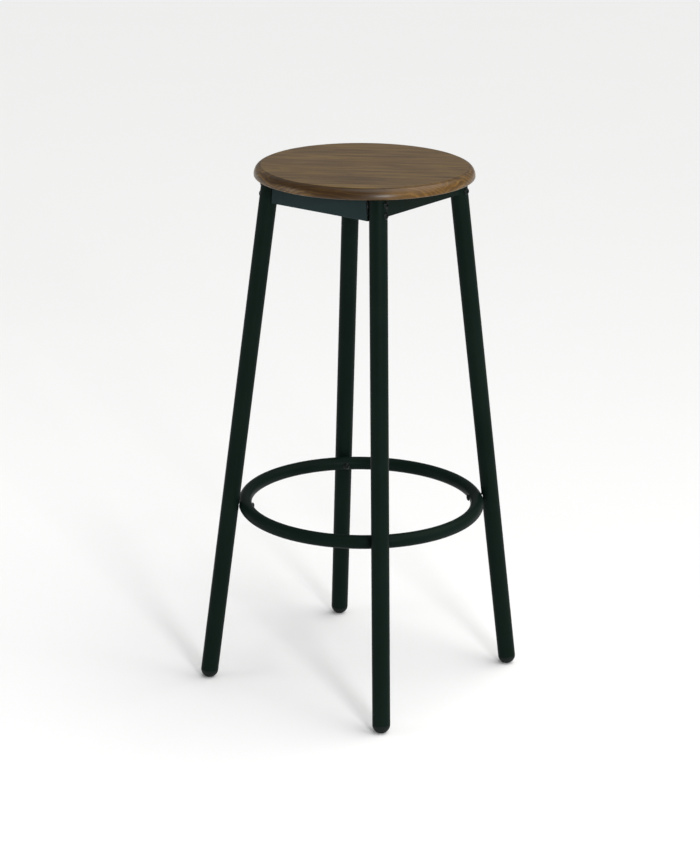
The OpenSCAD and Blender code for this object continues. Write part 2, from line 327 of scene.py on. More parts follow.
class Shader:
    """A small helper that builds one material's node tree around a Principled BSDF."""

    def __init__(self, name):
        self.material = bpy.data.materials.new(name)
        self.material.use_nodes = True
        self.tree = self.material.node_tree
        self.tree.nodes.clear()
        self.bsdf = self.tree.nodes.new("ShaderNodeBsdfPrincipled")
        output = self.tree.nodes.new("ShaderNodeOutputMaterial")
        self.tree.links.new(self.bsdf.outputs["BSDF"], output.inputs["Surface"])
        self.here = self.add("ShaderNodeTexCoord").outputs["Object"]

    def feed(self, socket, value):
        """Links a socket to another one, or sets its value."""
        if isinstance(value, bpy.types.NodeSocket):
            self.tree.links.new(value, socket)
        else:
            socket.default_value = value

    def add(self, kind, inputs=None, **settings):
        """A new node with the given inputs and settings."""
        node = self.tree.nodes.new(kind)
        for key, value in settings.items():
            setattr(node, key, value)
        for key, value in (inputs or {}).items():
            self.feed(node.inputs[key], value)
        return node

    def surface(self, **inputs):
        """Sets the shader's own sockets: underscores in a name stand for spaces."""
        for key, value in inputs.items():
            self.feed(self.bsdf.inputs[key.replace("_", " ")], value)

    def math(self, operation, a, b=0.0):
        node = self.add("ShaderNodeMath", operation=operation)
        self.feed(node.inputs[0], a)
        self.feed(node.inputs[1], b)
        return node.outputs[0]

    def plus(self, a, b):
        return self.math("ADD", a, b)

    def minus(self, a, b):
        return self.math("SUBTRACT", a, b)

    def times(self, a, b):
        return self.math("MULTIPLY", a, b)

    def remap(self, value, low, high, to_low=0.0, to_high=1.0, smooth=False):
        """The value carried from one range to another, and held at its ends."""
        kind = "SMOOTHSTEP" if smooth else "LINEAR"
        inputs = {"Value": value, "From Min": low, "From Max": high, "To Min": to_low, "To Max": to_high}
        return self.add("ShaderNodeMapRange", inputs, interpolation_type=kind).outputs["Result"]

    def mix(self, share, a, b, blend="MIX"):
        """Colour a with a share of colour b laid over it."""
        node = self.add("ShaderNodeMix", data_type="RGBA", blend_type=blend)
        self.feed(node.inputs["Factor"], share)
        self.feed(node.inputs[6], a)
        self.feed(node.inputs[7], b)
        return node.outputs[2]

    def ramp(self, value, *stops):
        """A colour ramp of (position, colour) stops."""
        node = self.add("ShaderNodeValToRGB", {"Fac": value})
        elements = node.color_ramp.elements
        while len(elements) < len(stops):
            elements.new(0.5)
        for element, (position, colour) in zip(elements, stops):
            element.position = position
            element.color = colour
        return node.outputs["Color"]

    def noise(self, place, scale, detail, roughness):
        inputs = {"Vector": place, "Scale": scale, "Detail": detail, "Roughness": roughness}
        return self.add("ShaderNodeTexNoise", inputs).outputs["Fac"]

    def stretch(self, place, scale):
        """The coordinates multiplied by a scale along each axis."""
        inputs = {"Vector": place, "Scale": scale}
        return self.add("ShaderNodeMapping", inputs).outputs["Vector"]

    def bump(self, height, distance, strength, under=None):
        """A normal that leans with the height. under is a finer bump, which this one is laid over."""
        inputs = {"Height": height, "Distance": distance, "Strength": strength}
        if under is not None:
            inputs["Normal"] = under
        return self.add("ShaderNodeBump", inputs).outputs["Normal"]


def rgb(red, green, blue):
    return (red, green, blue, 1.0)


def wood_material():
    """Stained solid wood, glued up from staves: each has its own growth rings, so the top shows long grain
    and the edge shows the rings where it crosses them."""
    grain_turn = math.radians(33)
    stave_w = 78 * MM
    stave_shift = 0.31
    ring_w = 6.4 * MM
    slow_wander, fine_wander = 36 * MM, 6 * MM
    pith_spread, least_pith_depth, more_pith_depth = 70 * MM, 30 * MM, 45 * MM
    run_off = 0.045
    s = Shader("stained_wood")

    turned = s.add("ShaderNodeMapping", {"Vector": s.here, "Rotation": (0, 0, -grain_turn)}).outputs["Vector"]
    axes = s.add("ShaderNodeSeparateXYZ", {"Vector": turned})
    along, across, height = axes.outputs[0], axes.outputs[1], axes.outputs[2]

    # Each stave is a number, which moves its rings and shifts its colour
    stave_place = s.math("DIVIDE", s.plus(across, stave_shift * stave_w), stave_w)
    stave = s.math("FLOOR", stave_place)
    dice = s.add("ShaderNodeTexWhiteNoise", {"W": stave}, noise_dimensions="1D")
    roll = s.add("ShaderNodeSeparateXYZ", {"Vector": dice.outputs["Color"]})
    roll_a, roll_b, roll_c = roll.outputs[0], roll.outputs[1], roll.outputs[2]
    stave_middle = s.times(s.plus(stave, 0.5 - stave_shift), stave_w)
    local = s.minus(across, stave_middle)

    # The grain wanders: slow waves along the stave bend the rings a little
    start = s.plus(along, s.times(roll_a, 3.0))
    shifted = s.add("ShaderNodeCombineXYZ", {0: start, 1: across, 2: height}).outputs[0]
    slow = s.noise(s.stretch(shifted, (5, 22, 22)), 1.0, 2.0, 0.45)
    medium = s.noise(s.stretch(shifted, (16, 90, 90)), 1.0, 3.0, 0.5)
    wander = s.plus(s.times(s.minus(slow, 0.5), slow_wander), s.times(s.minus(medium, 0.5), fine_wander))
    pith_side = s.times(s.minus(roll_b, 0.5), pith_spread)
    pith_depth = s.plus(s.times(roll_c, more_pith_depth), least_pith_depth)
    side = s.plus(s.minus(local, pith_side), s.times(along, run_off))
    drop = s.plus(s.minus(height, SEAT_TOP), pith_depth)
    radius = s.math("SQRT", s.plus(s.times(side, side), s.times(drop, drop)))
    rings = s.math("FRACT", s.math("DIVIDE", s.plus(radius, wander), ring_w))
    late = s.times(s.remap(rings, 0.35, 0.93, smooth=True), s.remap(rings, 1.0, 0.94))

    # Broad bands, streaks, fibres and pores, all drawn out along the grain
    bands = s.noise(s.stretch(shifted, (3.2, 62, 62)), 1.0, 3.0, 0.55)
    streaks = s.noise(s.stretch(shifted, (11, 150, 150)), 1.0, 3.0, 0.6)
    fibres = s.noise(s.stretch(shifted, (28, 640, 640)), 1.0, 4.0, 0.66)
    flecks = s.remap(s.noise(s.stretch(shifted, (42, 150, 150)), 1.0, 1.0, 0.4), 0.69, 0.77, smooth=True)
    ticks = s.remap(s.noise(s.stretch(shifted, (60, 520, 520)), 1.0, 1.0, 0.4), 0.66, 0.76, smooth=True)
    pore = s.add("ShaderNodeTexVoronoi", {"Vector": s.stretch(shifted, (150, 1500, 1500)), "Scale": 1.0})
    pores = s.remap(pore.outputs["Distance"], 0.32, 0.16, smooth=True)
    cloud = s.noise(s.here, 9.0, 2.0, 0.5)

    # The rim is everything outside the flat top. Its tone changes from side to side: partly the wood's own
    # tone, partly painted light and shade, laid on as below
    spot = s.add("ShaderNodeSeparateXYZ", {"Vector": s.here})
    x, y = spot.outputs[0], spot.outputs[1]
    reach = s.math("SQRT", s.plus(s.times(x, x), s.times(y, y)))
    flat_r = SEAT_R - SEAT_ROUND
    rim = s.remap(reach, flat_r - 0.1 * MM, flat_r + 0.6 * MM, smooth=True)
    # Painted shade: a thin dark line in the step just under the flat top, where shadow falls
    step_shade = s.times(rim, s.remap(reach, flat_r + 3.4 * MM, flat_r + 1.0 * MM, smooth=True))
    # The lower part of the rim, which takes a painted reflection of the floor at the front left
    floor_lit_low_band = s.remap(height, SEAT_TOP - 6 * MM, SEAT_TOP - 10 * MM, smooth=True)

    def facing(azimuth, near, far):
        """1 within near degrees of an azimuth (0 is the front, 90 the right), falling to 0 at far degrees."""
        turn = math.radians(azimuth)
        east = s.times(x, math.sin(turn))
        north = s.times(y, -math.cos(turn))
        cosine = s.math("DIVIDE", s.plus(east, north), s.math("MAXIMUM", reach, 1 * MM))
        return s.remap(cosine, math.cos(math.radians(far)), math.cos(math.radians(near)), smooth=True)

    # Painted shade, partly the wood's own tone: the rim darker towards the front and the back. Its lower half
    # at the front left is left less dark, a painted reflection of the floor
    dark_tone_and_shade = s.minus(facing(13, 26, 48), s.times(s.times(floor_lit_low_band, 0.9), facing(-15, 14, 32)))
    dark_tone_and_shade = s.math("MAXIMUM", dark_tone_and_shade, s.times(facing(196, 14, 44), 0.7))
    # Painted light, partly the wood's own tone: the rim more golden towards the right, where the lamps fall,
    # and towards the left
    gold = s.math("MAXIMUM", facing(70, 12, 30), s.times(facing(262, 16, 44), 0.8))

    base = s.ramp(
        bands,
        (0.25, rgb(0.122, 0.067, 0.0175)),
        (0.42, rgb(0.162, 0.092, 0.0235)),
        (0.58, rgb(0.206, 0.121, 0.0315)),
        (0.76, rgb(0.256, 0.154, 0.0415)),
    )
    tinted = s.mix(s.remap(roll_a, 0.0, 1.0, 0.0, 0.30), base, rgb(0.185, 0.102, 0.0250))
    streaked = s.mix(s.remap(streaks, 0.60, 0.36, 0.0, 0.85), tinted, rgb(0.072, 0.038, 0.0095))
    ringed = s.mix(s.times(late, s.remap(rim, 0.0, 1.0, 0.28, 0.50)), streaked, rgb(0.040, 0.019, 0.0055))
    early = s.times(s.remap(rings, 0.02, 0.16, smooth=True), s.remap(rings, 0.34, 0.18, smooth=True))
    lit = s.mix(s.times(s.times(early, rim), 0.60), ringed, rgb(0.340, 0.205, 0.0640))
    fibred = s.mix(s.remap(fibres, 0.34, 0.66, 0.42, 0.0), lit, rgb(0.052, 0.027, 0.0080))
    marks = s.math("MAXIMUM", s.times(flecks, 0.40), s.times(ticks, 0.42))
    flecked = s.mix(marks, fibred, rgb(0.032, 0.016, 0.0055))
    pored = s.mix(s.times(pores, 0.45), flecked, rgb(0.022, 0.011, 0.0050))
    clouded = s.mix(s.remap(cloud, 0.3, 0.75, 0.0, 0.16), pored, rgb(0.066, 0.038, 0.0110))
    darker = s.mix(s.times(s.times(rim, dark_tone_and_shade), 0.80), clouded, rgb(0.030, 0.0135, 0.0025))
    golden = s.mix(s.times(s.times(rim, gold), 0.40), darker, rgb(0.150, 0.078, 0.0150))
    # Here the step's painted shade goes into the colour, deeper where the rim is darker
    edged = s.mix(s.times(step_shade, s.remap(dark_tone_and_shade, 0.0, 1.0, 0.35, 0.75)), golden, rgb(0.022, 0.012, 0.0040))
    # The rim is darker and warmer than the top: the warmth is stain that the rim soaks up, and the darkness
    # is partly that stain and partly painted shade
    rim_stain_and_shade = s.mix(rim, edged, rgb(0.82, 0.74, 0.59), "MULTIPLY")

    # A hair-thin glue line between staves
    line_place = s.math("ABSOLUTE", s.minus(s.math("FRACT", stave_place), 0.5))
    glue = s.remap(line_place, 0.4975, 0.4995)
    colour = s.mix(s.times(glue, 0.45), rim_stain_and_shade, rgb(0.035, 0.020, 0.010))

    grain_rough = s.plus(s.remap(fibres, 0.3, 0.7, 0.46, 0.36), s.remap(cloud, 0.3, 0.7, -0.03, 0.03))
    rough = s.minus(grain_rough, s.times(rim, 0.05))
    relief = s.minus(s.times(fibres, 0.25), s.times(pores, 0.6))
    s.surface(
        Base_Color=colour,
        Roughness=rough,
        Coat_Weight=0.14,
        Coat_Roughness=0.28,
        Specular_IOR_Level=0.24,
        Normal=s.bump(relief, 0.05 * MM, 0.6),
    )
    return s.material


def powder_coat(name, dark, middle, light):
    """Satin powder coat in three close shades, with fine orange peel and light handling marks."""
    s = Shader(name)
    peel = s.noise(s.here, 900.0, 3.0, 0.55)
    grit = s.noise(s.here, 4200.0, 2.0, 0.6)
    patch = s.noise(s.here, 14.0, 3.0, 0.55)
    scuff = s.noise(s.stretch(s.here, (420, 420, 30)), 1.0, 3.0, 0.6)
    scuffs = s.times(s.remap(scuff, 0.68, 0.78, smooth=True), s.remap(patch, 0.5, 0.7, smooth=True))
    speck = s.noise(s.here, 2600.0, 1.0, 0.5)
    specks = s.remap(speck, 0.70, 0.76, smooth=True)
    base = s.ramp(patch, (0.30, dark), (0.55, middle), (0.75, light))
    dusty = s.mix(s.times(specks, 0.08), base, rgb(0.05, 0.06, 0.06))
    colour = s.mix(s.times(scuffs, 0.08), dusty, rgb(0.04, 0.05, 0.05))
    rough = s.plus(s.remap(patch, 0.3, 0.7, 0.36, 0.43), s.times(scuffs, -0.06))
    fine = s.bump(grit, 0.012 * MM, 0.5)
    s.surface(
        Base_Color=colour,
        Roughness=rough,
        Specular_IOR_Level=0.03,
        Normal=s.bump(peel, 0.06 * MM, 0.35, under=fine),
    )
    return s.material


def black_oxide():
    """The bolts: oily black oxide over steel, a little brighter where a tool has rubbed."""
    s = Shader("black_oxide")
    patch = s.noise(s.here, 260.0, 3.0, 0.6)
    grain = s.noise(s.here, 5200.0, 3.0, 0.6)
    colour = s.ramp(patch, (0.35, rgb(0.0030, 0.0060, 0.0050)), (0.7, rgb(0.0070, 0.0115, 0.0098)))
    s.surface(
        Base_Color=colour,
        Metallic=0.1,
        Roughness=s.remap(patch, 0.3, 0.7, 0.30, 0.42),
        Specular_IOR_Level=0.1,
        Normal=s.bump(grain, 0.01 * MM, 0.5),
    )
    return s.material


def moulded_plastic():
    """The feet: black nylon with a fine moulded grain, greyed where it meets the floor."""
    s = Shader("moulded_plastic")
    grain = s.add("ShaderNodeTexVoronoi", {"Vector": s.here, "Scale": 2400.0}).outputs["Distance"]
    patch = s.noise(s.here, 180.0, 4.0, 0.6)
    height = s.add("ShaderNodeSeparateXYZ", {"Vector": s.here}).outputs[2]
    low = s.remap(height, 3.5 * MM, 0.0, smooth=True)
    worn = s.times(low, s.remap(patch, 0.35, 0.65, smooth=True))
    base = s.ramp(patch, (0.3, rgb(0.0045, 0.0085, 0.0070)), (0.75, rgb(0.0075, 0.0120, 0.0105)))
    colour = s.mix(s.times(worn, 0.5), base, rgb(0.075, 0.072, 0.066))
    s.surface(
        Base_Color=colour,
        Roughness=s.remap(patch, 0.3, 0.7, 0.48, 0.60),
        Specular_IOR_Level=0.12,
        Normal=s.bump(grain, 0.03 * MM, 0.35),
    )
    return s.material


def zinc_plate():
    """Bright zinc plate on the hidden hardware: blotchy, with faint turning marks."""
    s = Shader("zinc_plate")
    blotch = s.noise(s.here, 320.0, 4.0, 0.6)
    marks = s.noise(s.stretch(s.here, (300, 300, 4200)), 1.0, 3.0, 0.6)
    colour = s.ramp(blotch, (0.3, rgb(0.40, 0.41, 0.42)), (0.7, rgb(0.58, 0.59, 0.60)))
    s.surface(
        Base_Color=colour,
        Metallic=1.0,
        Roughness=s.remap(blotch, 0.3, 0.7, 0.28, 0.44),
        Normal=s.bump(marks, 0.02 * MM, 0.5),
    )
    return s.material


WOOD = wood_material()
# Near-black with a trace of green. The front and back rails get a lit copy of the coat, a shade lighter and
# bluer than the rest: painted light
COAT = powder_coat(
    "powder_coat", rgb(0.0036, 0.0088, 0.0064), rgb(0.0043, 0.0102, 0.0075), rgb(0.0054, 0.0118, 0.0088)
)
LIT_RAIL_COAT = powder_coat(
    "lit_rail_powder_coat", rgb(0.0150, 0.0262, 0.0268), rgb(0.0170, 0.0290, 0.0298), rgb(0.0192, 0.0320, 0.0330)
)
OXIDE = black_oxide()
PLASTIC = moulded_plastic()
ZINC = zinc_plate()


# ---- Seat ----

def seat_profile():
    """Radius and height pairs, from the middle of the underside round the edge to the middle of the top."""
    under_round, widest, step = 2.5 * MM, 13.5 * MM, 0.7 * MM
    crease = 0.22 * MM
    belly = SEAT_TOP - widest
    lower_h = belly - SEAT_UNDER
    upper_h = widest - step
    edge = SEAT_R - SEAT_ROUND
    lower = arc((SEAT_R - under_round, belly), under_round, 274, 360, 22, lower_h / under_round)
    upper = arc((edge, belly), SEAT_ROUND, 4, 86, 20, upper_h / SEAT_ROUND)
    shoulder = SEAT_TOP - step
    # Rings across the two flat faces keep their triangles short
    under_face = [(radius, SEAT_UNDER) for radius in (0, 50 * MM, 100 * MM)]
    top_face = [(radius, SEAT_TOP) for radius in (120 * MM, 80 * MM, 40 * MM, 0)]
    return (
        under_face
        + [(lower[0][0] - 1.4 * MM, SEAT_UNDER)]
        + [(lower[0][0] - 0.5 * MM, SEAT_UNDER + 0.02 * MM)]
        + lower
        + upper
        + [(edge + crease * 1.4, shoulder + 0.03 * MM), (edge + crease * 0.4, shoulder + crease * 0.35)]
        + [(edge, shoulder + crease)]
        + arc((edge - crease, SEAT_TOP - crease), crease, 0, 90, 5)
        + [(edge - 2.5 * MM, SEAT_TOP)]
        + top_face
    )


def build_seat():
    """The round board, with a pilot hole for each of its screws."""
    pilot_depth = 13.5 * MM
    points, faces = revolve(seat_profile(), 240)
    seat = new_piece("seat_board", points, faces, WOOD, ("seat",), sharp=50)
    pilots = [
        rod(Vector((x, y, SEAT_UNDER - PAST_FACE)), Vector((x, y, SEAT_UNDER + pilot_depth)), SCREW_R, 24)
        for x, y in SCREW_PLACES
    ]
    return cut(seat, pilots, sharp=50)


# ---- Legs and feet ----

def build_leg(corner):
    """A round tube, its lower end square to its axis and its upper end level with the seat's underside."""
    segments = 72
    lip = 0.25 * MM
    bore = LEG_R - WALL
    foot_end = DOME_Z / math.cos(SPLAY)

    def ring(radius, rise, at_top):
        loop = []
        for i in range(segments):
            turn = 2 * math.pi * i / segments
            x, y = radius * math.cos(turn), radius * math.sin(turn)
            end = (SEAT_UNDER - x * math.sin(SPLAY)) / math.cos(SPLAY) if at_top else foot_end
            loop.append(Vector((x, y, end + rise)))
        return loop

    loops = [
        ring(LEG_R - lip, 0, False),
        ring(LEG_R, lip, False),
        ring(LEG_R, -lip, True),
        ring(LEG_R - lip, 0, True),
        ring(bore + lip, 0, True),
        ring(bore, -lip, True),
        ring(bore, lip, False),
        ring(bore + lip, 0, False),
    ]
    points, faces = loft(loops, closed=True)
    name = "leg_" + corner
    leg = new_piece(name + "_tube", points, faces, COAT, (name,), matrix=leg_matrix(corner))
    reach = LEG_R + PAST_TUBE
    holes = []
    for depth in RAIL_BOLT_DEPTHS:
        middle, outward = rail_bolt_line(corner, depth)
        holes.append(rod(middle - outward * reach, middle + outward * reach, BOLT_HOLE_R, 32))
    middle, inward = ring_bolt_line(corner)
    holes.append(rod(middle, middle + inward * reach, INSERT_R, 32))
    return cut(leg, holes)


def build_foot(corner):
    """A moulded plug: a dome with a small flat to stand on, and a ribbed stem up inside the leg."""
    rim = 0.4 * MM
    stem_r = LEG_R - WALL - 0.6 * MM
    rib_r = LEG_R - WALL
    stem_h, stem_wall, rib_pitch, rib_h = 22 * MM, 2.5 * MM, 5 * MM, 1.6 * MM
    profile = arc((0, 0), LEG_R, -90, -3, 30)
    profile[0] = (0, -LEG_R)
    profile += [(LEG_R - 0.06 * MM, -0.3 * MM), (LEG_R - 0.2 * MM, -0.1 * MM), (LEG_R - rim, 0)]
    profile += [(rib_r, 0)]
    level = 0.0
    while level + rib_h < stem_h:
        profile += [(rib_r, level + rib_h - 0.3 * MM), (stem_r, level + rib_h)]
        level += rib_pitch
        if level + rib_h < stem_h:
            profile += [(stem_r, level), (rib_r, level + 0.3 * MM)]
    profile += [(stem_r, stem_h - 0.5 * MM), (stem_r - 0.5 * MM, stem_h)]
    profile += [(stem_r - stem_wall, stem_h), (stem_r - stem_wall, stem_wall), (0, stem_wall)]
    place = leg_matrix(corner) @ Matrix.Translation((0, 0, DOME_Z / math.cos(SPLAY)))
    points, faces = revolve(profile, 64)
    name = "foot_" + corner
    foot = new_piece(name + "_plug", points, faces, PLASTIC, (name,), matrix=place)
    work = bmesh.new()
    work.from_mesh(foot.data)
    everything = work.verts[:] + work.edges[:] + work.faces[:]
    bmesh.ops.bisect_plane(work, geom=everything, plane_co=(0, 0, 0), plane_no=(0, 0, -1), clear_outer=True)
    rim_edges = [e for e in work.edges if e.is_boundary]
    bmesh.ops.contextual_create(work, geom=rim_edges)
    work.to_mesh(foot.data)
    work.free()
    tidy_mesh(foot, 16)
    return foot


# ---- Rails and welds ----

def coped_end(x, z):
    """How far forward a side rail reaches at x and z: to where it meets the front leg's round surface."""
    ax, ay = leg_xy(0), -leg_xy(0)
    scale = 1 / math.sqrt(1 + 2 * RAKE ** 2)
    dx, dy, dz = -RAKE * scale, RAKE * scale, scale
    px, pz = x - ax, z
    # |p|^2 - (p . d)^2 = r^2, a quadratic in the distance from ay
    a = 1 - dy * dy
    b = -2 * dy * (px * dx + pz * dz)
    c = px * px + pz * pz - (px * dx + pz * dz) ** 2 - LEG_R ** 2
    return ay + (-b + math.sqrt(max(b * b - 4 * a * c, 0))) / (2 * a)


def rail_tube(height, end_loop):
    """Points and faces of a rounded rectangular tube. end_loop puts an outline at one end of the rail."""
    outer = rounded_outline(RAIL_W, height, RAIL_CORNER)
    inner = rounded_outline(RAIL_W - 2 * WALL, height - 2 * WALL, RAIL_CORNER - WALL)
    loops = [end_loop(outer, 1), end_loop(outer, -1), end_loop(inner, -1), end_loop(inner, 1)]
    return loft(loops, closed=True)


def build_side_rail(sign, name):
    """A rail whose ends are coped to the legs."""
    def end_loop(outline, end):
        loop = []
        for px, pz in outline:
            y = coped_end(SIDE_X + px, SIDE_Z + pz)
            loop.append(Vector((sign * (SIDE_X + px), end * y, SIDE_Z + pz)))
        return loop

    points, faces = rail_tube(SIDE_H, end_loop)
    return new_piece(name + "_tube", points, faces, COAT, (name,))


def build_cross_rail(sign, name):
    """A rail with square-cut ends that lean with the legs."""
    def end_loop(outline, end):
        loop = []
        for py, pz in outline:
            z = CROSS_Z + pz
            x = leg_xy(z) - LEG_R * math.sqrt(1 + RAKE ** 2)
            loop.append(Vector((end * x, sign * (CROSS_Y + py), z)))
        return loop

    points, faces = rail_tube(CROSS_H, end_loop)
    # The rail wears the lit copy of the coat, a shade lighter than the legs: painted light
    rail = new_piece(name + "_tube", points, faces, LIT_RAIL_COAT, (name,))
    return soften(rail, 0.3 * MM)


def bead_sections(path, size):
    """Cross-sections of a weld bead along a path of (corner, to_rail, to_leg) points, where the bead's feet
    stand on the two surfaces. Its ripples and its wandering width follow the distance along it."""
    ripple_pitch, steps = 1.7 * MM, 6
    sections, run = [], 0.0
    total = sum((b[0] - a[0]).length for a, b in zip(path, path[1:]))
    for i, (corner, to_a, to_b) in enumerate(path):
        if i:
            run += (corner - path[i - 1][0]).length
        phase = (run / ripple_pitch) % 1.0
        scallop = 1 - (2 * phase - 1) ** 2
        wander = 0.05 * math.sin(run * 900) + 0.04 * math.sin(run * 2300 + 1.7)
        ends = min(1.0, 0.62 + min(run, total - run) / (4 * MM))
        reach = size * ends * (0.93 + wander + 0.06 * scallop)
        foot_a, foot_b = to_a(reach), to_b(reach)
        out = ((foot_a + foot_b) / 2 - corner).normalized()
        bulge = reach * (0.06 + 0.09 * scallop)
        section = [
            foot_a.lerp(foot_b, t / steps) + out * bulge * 4 * (t / steps) * (1 - t / steps)
            for t in range(steps + 1)
        ]
        section.append(corner - out * 0.3 * MM)
        sections.append(section)
    return sections


def weld_path(sign, end):
    """The weld's path down the outer side of a side rail's coped end, and along its underside."""
    step = 0.22 * MM
    half_w, half_h = RAIL_W / 2, SIDE_H / 2
    side_run, under_run = SIDE_H - 2 * RAIL_CORNER, RAIL_W - 2 * RAIL_CORNER
    down = int(side_run / step)
    spots = [(half_w, half_h - RAIL_CORNER - side_run * i / down, 1, 0) for i in range(down)]
    turns = int(RAIL_CORNER * math.pi / 2 / step)
    for i in range(turns):
        turn = math.pi / 2 * i / turns
        nx, nz = math.cos(turn), -math.sin(turn)
        px, pz = half_w - RAIL_CORNER + RAIL_CORNER * nx, -half_h + RAIL_CORNER + RAIL_CORNER * nz
        spots.append((px, pz, nx, nz))
    flat = int(under_run / step)
    spots += [(half_w - RAIL_CORNER - under_run * i / flat, -half_h, 0, -1) for i in range(flat)]

    axis_foot = Vector((leg_xy(0), -leg_xy(0), 0))
    axis_way = Vector((-RAKE, RAKE, 1)).normalized()
    path = []
    for px, pz, nx, nz in spots:
        x, z = SIDE_X + px, SIDE_Z + pz
        corner = Vector((x, coped_end(x, z), z))

        def on_rail(reach, corner=corner):
            return flip(corner + Vector((0, reach, 0)))

        def on_leg(reach, corner=corner, nx=nx, nz=nz):
            aside = corner + Vector((nx, 0, nz)) * reach
            foot = axis_foot + axis_way * (aside - axis_foot).dot(axis_way)
            return flip(foot + (aside - foot).normalized() * LEG_R)

        def flip(point):
            return Vector((sign * point.x, end * point.y, point.z))

        path.append((flip(corner), on_rail, on_leg))
    return path


def build_frame_welds(sign, name):
    """The beads at both ends of a side rail."""
    points, faces = joined(
        loft(bead_sections(weld_path(sign, end), WELD), capped=True) for end in (1, -1)
    )
    return new_piece(name + "_beads", points, faces, COAT, (name,), sharp=60)


# ---- Footrest ----

def torus(radius, tube, around, across, centre_z, seam=None):
    """Points and faces of a ring of tube. seam is the turn where a dressed weld swells the tube a little."""
    swell_h, swell_w = 0.14 * MM, 1.5 * MM
    loops = []
    for i in range(around):
        turn = 2 * math.pi * i / around
        swell = 0.0
        if seam is not None:
            off = (turn - seam + math.pi) % (2 * math.pi) - math.pi
            swell = swell_h * math.exp(-((off * radius / swell_w) ** 2))
        loop = []
        for j in range(across):
            tilt = 2 * math.pi * j / across
            size = tube + swell * (0.75 + 0.25 * math.sin(5 * tilt))
            out, height = radius + size * math.cos(tilt), centre_z + size * math.sin(tilt)
            loop.append(Vector((out * math.cos(turn), out * math.sin(turn), height)))
        loops.append(loop)
    return loft(loops, closed=True)


def build_ring():
    """One tube, bent round and closed by a weld that hides beside the front right leg."""
    seam = math.radians(-45 + 5)
    points, faces = torus(RING_R, RING_TUBE_R, around=360, across=40, centre_z=RING_Z, seam=seam)
    ring = new_piece("footrest_ring_tube", points, faces, COAT, ("footrest_ring",))
    reach = LEG_R + 2 * RING_TUBE_R + PAST_TUBE
    holes = []
    for corner in CORNERS:
        middle, inward = ring_bolt_line(corner)
        holes.append(rod(middle, middle + inward * reach, BOLT_HOLE_R, 32))
    cut(ring, holes)
    return cut(ring, [torus(RING_R, RING_TUBE_R - WALL, around=180, across=24, centre_z=RING_Z)])


# ---- Fasteners ----

def button_bolt(length):
    """Points and faces of a button-head bolt: its head stands on z = 0 and its shank hangs below."""
    segments = 48
    dome_r = (BOLT_HEAD_R ** 2 + BOLT_HEAD_H ** 2) / (2 * BOLT_HEAD_H)
    dome_z = BOLT_HEAD_H - dome_r
    dome_start = BOLT_HEAD_R - 0.15 * MM
    dome_steps = 8
    tip = 0.8 * MM
    half_flats = 2 * MM
    socket_floor = BOLT_HEAD_H - 2.1 * MM
    mouth = 2.65 * MM

    def around(radius_at, height):
        loop = []
        for i in range(segments):
            turn = 2 * math.pi * i / segments
            radius = radius_at(turn)
            loop.append(Vector((radius * math.cos(turn), radius * math.sin(turn), height)))
        return loop

    def circle(radius, height):
        return around(lambda turn: radius, height)

    def hexagon(height, shrink=1.0):
        def radius_at(turn):
            side = (turn + math.pi / 6) % (math.pi / 3) - math.pi / 6
            return shrink * half_flats / math.cos(side)

        return around(radius_at, height)

    def dome(radius):
        return dome_z + math.sqrt(dome_r ** 2 - radius ** 2)

    shank = [
        (1.2 * MM, -length),
        (BOLT_R - tip, -length),
        (BOLT_R, -length + tip),
        (BOLT_R, -0.4 * MM),
        (BOLT_R + 0.12 * MM, -0.1 * MM),
        (BOLT_R + 0.2 * MM, 0),
    ]
    head_edge = [
        (BOLT_HEAD_R - 0.3 * MM, 0),
        (BOLT_HEAD_R - 0.08 * MM, 0.08 * MM),
        (BOLT_HEAD_R - 0.03 * MM, 0.22 * MM),
    ]
    loops = [circle(radius, height) for radius, height in shank + head_edge]
    for i in range(dome_steps + 1):
        radius = dome_start - (dome_start - mouth) * i / dome_steps
        loops.append(circle(radius, dome(radius)))
    loops += [circle(mouth - 0.12 * MM, dome(mouth) - 0.06 * MM)]
    loops += [hexagon(dome(mouth) - 0.25 * MM), hexagon(socket_floor + 0.1 * MM), hexagon(socket_floor, 0.94)]
    loops += [circle(0.5 * MM, socket_floor - 0.35 * MM)]
    return loft(loops, capped=True)


def build_rail_bolts(y_sign, name):
    """The four bolts of the front or back rail. Each is turned a little differently, as driven bolts are."""
    bolt = button_bolt(RAIL_BOLT_LEN)
    parts = []
    for corner in [corner for corner, (_, sy) in CORNERS.items() if sy == y_sign]:
        for number, depth in enumerate(RAIL_BOLT_DEPTHS):
            middle, outward = rail_bolt_line(corner, depth)
            place = aimed(middle + outward * LEG_R, outward)
            spin = Matrix.Rotation(math.radians(17 + 23 * number + 31 * len(parts)), 4, "Z")
            parts.append(moved(bolt, place @ spin))
    points, faces = joined(parts)
    return new_piece(name + "_set", points, faces, OXIDE, (name,), sharp=30)


def build_ring_bolts():
    """The four bolts that hold the footrest, each with its head inside the ring."""
    bolt = button_bolt(RING_BOLT_LEN)
    parts = []
    for number, corner in enumerate(CORNERS):
        middle, inward = ring_bolt_line(corner)
        place = aimed(middle + inward * (LEG_R + 2 * RING_TUBE_R + RING_HEAD_GAP), inward)
        parts.append(moved(bolt, place @ Matrix.Rotation(math.radians(9 + 19 * number), 4, "Z")))
    points, faces = joined(parts)
    return new_piece("footrest_bolts_set", points, faces, OXIDE, ("footrest_bolts",), sharp=30)


